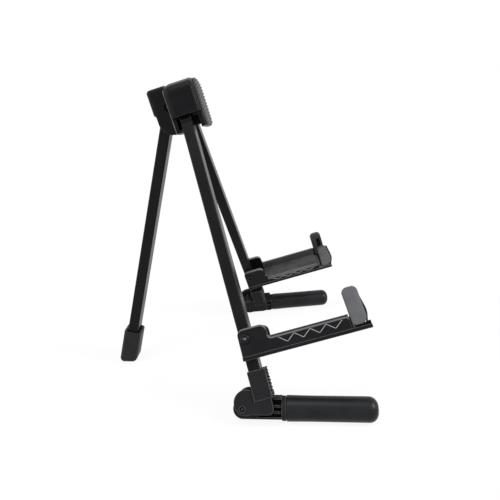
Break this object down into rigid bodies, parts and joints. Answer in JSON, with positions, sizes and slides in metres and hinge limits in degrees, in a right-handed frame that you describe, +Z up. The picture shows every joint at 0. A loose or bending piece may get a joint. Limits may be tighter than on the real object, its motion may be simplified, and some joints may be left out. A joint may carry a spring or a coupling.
{
  "type": "folding guitar stand",
  "caption": "Folding A-frame floor stand for a guitar: splayed front legs and a rear strut in a moulded head, with fold-up lined cradle arms and fold-away rubber-sleeved feet.",
  "frame": {"origin": "on the floor under the middle of the stand's bounding box", "axes": "+Z up, +X towards the toes of the feet, +Y to the stand's left"},
  "size_m": [0.2644, 0.3208, 0.3076],
  "materials": {
    "shell": "satin moulded",
    "moulding": "satin moulded",
    "arm": "satin moulded",
    "yoke": "satin moulded",
    "tube": "satin black coat",
    "steel": "satin",
    "grip": "matte",
    "boot": "matte",
    "liner": "matte",
    "pad": "matte grey"
  },
  "bodies": {
    "head": {"head_front_shell": "shell", "head_rear_shell": "shell", "head_pad": "pad", "head_screws": "steel", "rear_leg_pin": "steel", "left_splay_pin": "steel", "right_splay_pin": "steel"},
    "rear_leg": {"rear_leg_tube": "tube", "rear_leg_plug": "moulding", "rear_boot": "boot"},
    "left_leg": {"left_leg_tube": "tube", "left_leg_top_plug": "moulding", "left_knuckle": "moulding", "left_foot_pin": "steel", "left_arm_rivet": "steel"},
    "left_foot": {"left_foot_bar": "moulding", "left_foot_sleeve": "grip"},
    "left_arm": {"left_arm_channel": "arm", "left_arm_liner": "liner", "left_stop_yoke": "yoke", "left_stop_outer_pad": "pad", "left_stop_inner_pad": "pad"},
    "right_leg": {"right_leg_tube": "tube", "right_leg_top_plug": "moulding", "right_knuckle": "moulding", "right_foot_pin": "steel", "right_arm_rivet": "steel"},
    "right_foot": {"right_foot_bar": "moulding", "right_foot_sleeve": "grip"},
    "right_arm": {"right_arm_channel": "arm", "right_arm_liner": "liner", "right_stop_yoke": "yoke", "right_stop_outer_pad": "pad", "right_stop_inner_pad": "pad"}
  },
  "joints": [
    {"name": "rear_leg_fold", "type": "hinge", "parent": "head", "child": "rear_leg", "pos_m": [-0.05274, 0, 0.27198], "axis": [0, -1, 0], "range_deg": [0, 22]},
    {"name": "left_leg_splay", "type": "hinge", "parent": "head", "child": "left_leg", "pos_m": [-0.03321, 0.0182, 0.27231], "axis": [-0.969, 0, -0.247], "range_deg": [0, 24.2]},
    {"name": "left_arm_fold", "type": "hinge", "parent": "left_leg", "child": "left_arm", "pos_m": [0.01917, 0.11351, 0.06681], "axis": [0.1013, -0.9121, -0.3972], "range_deg": [0, 90.9]},
    {"name": "left_foot_fold", "type": "hinge", "parent": "left_leg", "child": "left_foot", "pos_m": [0.01371, 0.13708, 0.0113], "axis": [-0.1013, 0.9121, 0.3972], "range_deg": [0, 254]},
    {"name": "right_leg_splay", "type": "hinge", "parent": "head", "child": "right_leg", "pos_m": [-0.03321, -0.0182, 0.27231], "axis": [0.969, 0, 0.247], "range_deg": [0, 24.2]},
    {"name": "right_arm_fold", "type": "hinge", "parent": "right_leg", "child": "right_arm", "pos_m": [0.01917, -0.11351, 0.06681], "axis": [-0.1013, -0.9121, 0.3972], "range_deg": [0, 90.9]},
    {"name": "right_foot_fold", "type": "hinge", "parent": "right_leg", "child": "right_foot", "pos_m": [0.01371, -0.13708, 0.0113], "axis": [0.1013, 0.9121, -0.3972], "range_deg": [0, 254]}
  ]
}
